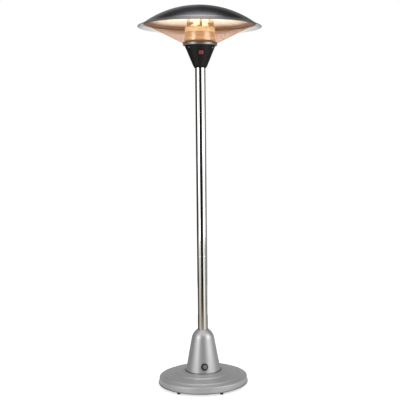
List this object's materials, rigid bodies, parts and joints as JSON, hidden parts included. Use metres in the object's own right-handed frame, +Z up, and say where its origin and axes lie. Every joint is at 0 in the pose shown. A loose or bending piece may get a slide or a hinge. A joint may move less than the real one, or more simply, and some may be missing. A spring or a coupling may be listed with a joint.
{
  "type": "outdoor heater",
  "caption": "Free-standing electric terrace heater with a domed head, caged lamps, a rocker switch, a slim pole and a weighted round base.",
  "frame": {"origin": "on the floor, under the middle of the base", "axes": "+Z up along the pole; the switch and the badge face -Y"},
  "size_m": [0.673, 0.673, 2.091],
  "materials": {
    "rubber": "matt black rubber",
    "zinc": "zinc-plated steel",
    "concrete": "cast concrete",
    "silver_paint": "satin metallic silver paint",
    "badge": "blank satin disc",
    "pole_chrome": "polished",
    "black_plastic": "satin black, fine grain",
    "black_gloss": "gloss black",
    "rocker_red": "clear red, lit from inside",
    "brass": "plain",
    "ceramic": "unglazed white",
    "dark_ceramic": "unglazed dark",
    "white_plastic": "plain",
    "wire_cover": "heat-proof braid",
    "collar_steel": "brushed",
    "copper_steel": "copper-toned, semi-gloss",
    "quartz": "clear quartz, glowing",
    "filament": "glowing tungsten",
    "dome_metal": "dark polished outside, bright inside"
  },
  "bodies": {
    "heater": {"rubber_feet": "rubber", "foot_screws": "zinc", "base_plate": "zinc", "ballast": "concrete", "base_cover": "silver_paint", "cable_grommet": "rubber", "pole_socket": "zinc", "socket_bolts": "zinc", "socket_washers": "zinc", "socket_nuts": "zinc", "socket_screws": "zinc", "cone_cover": "silver_paint", "cone_badge": "badge", "pole_lower": "pole_chrome", "pole_middle": "pole_chrome", "pole_upper": "pole_chrome", "pole_joiners": "zinc", "inner_cable": "rubber", "head_bracket": "zinc", "bracket_screws": "zinc", "neck_housing": "black_plastic", "neck_screws": "zinc", "switch_body": "black_gloss", "switch_terminals": "brass", "terminal_block": "ceramic", "terminal_screws": "brass", "tip_over_switch": "white_plastic", "supply_wires": "wire_cover", "switch_wires": "wire_cover", "lamp_wires": "wire_cover", "collar_ring": "collar_steel", "insulating_ring": "dark_ceramic", "lamp_drum": "copper_steel", "drum_cap": "copper_steel", "lamp_holders": "ceramic", "lamp_ends": "ceramic", "lamp_tubes": "quartz", "lamp_filaments": "filament", "tie_rods": "zinc", "post_tubes": "copper_steel", "rod_nuts": "zinc", "dome_bracket": "zinc", "dome": "dome_metal", "guard_bottom_hoop": "copper_steel", "guard_top_hoop": "copper_steel", "guard_mesh": "copper_steel"},
    "left_rocker": {"rocker_left": "rocker_red"},
    "right_rocker": {"rocker_right": "rocker_red"}
  },
  "joints": [
    {"name": "left_switch", "type": "hinge", "parent": "heater", "child": "left_rocker", "pos_m": [-0.0067, -0.06476, 1.83589], "axis": [1, 0, 0], "range_deg": [0, 16]},
    {"name": "right_switch", "type": "hinge", "parent": "heater", "child": "right_rocker", "pos_m": [0.0067, -0.06476, 1.83589], "axis": [1, 0, 0], "range_deg": [0, 16]}
  ]
}
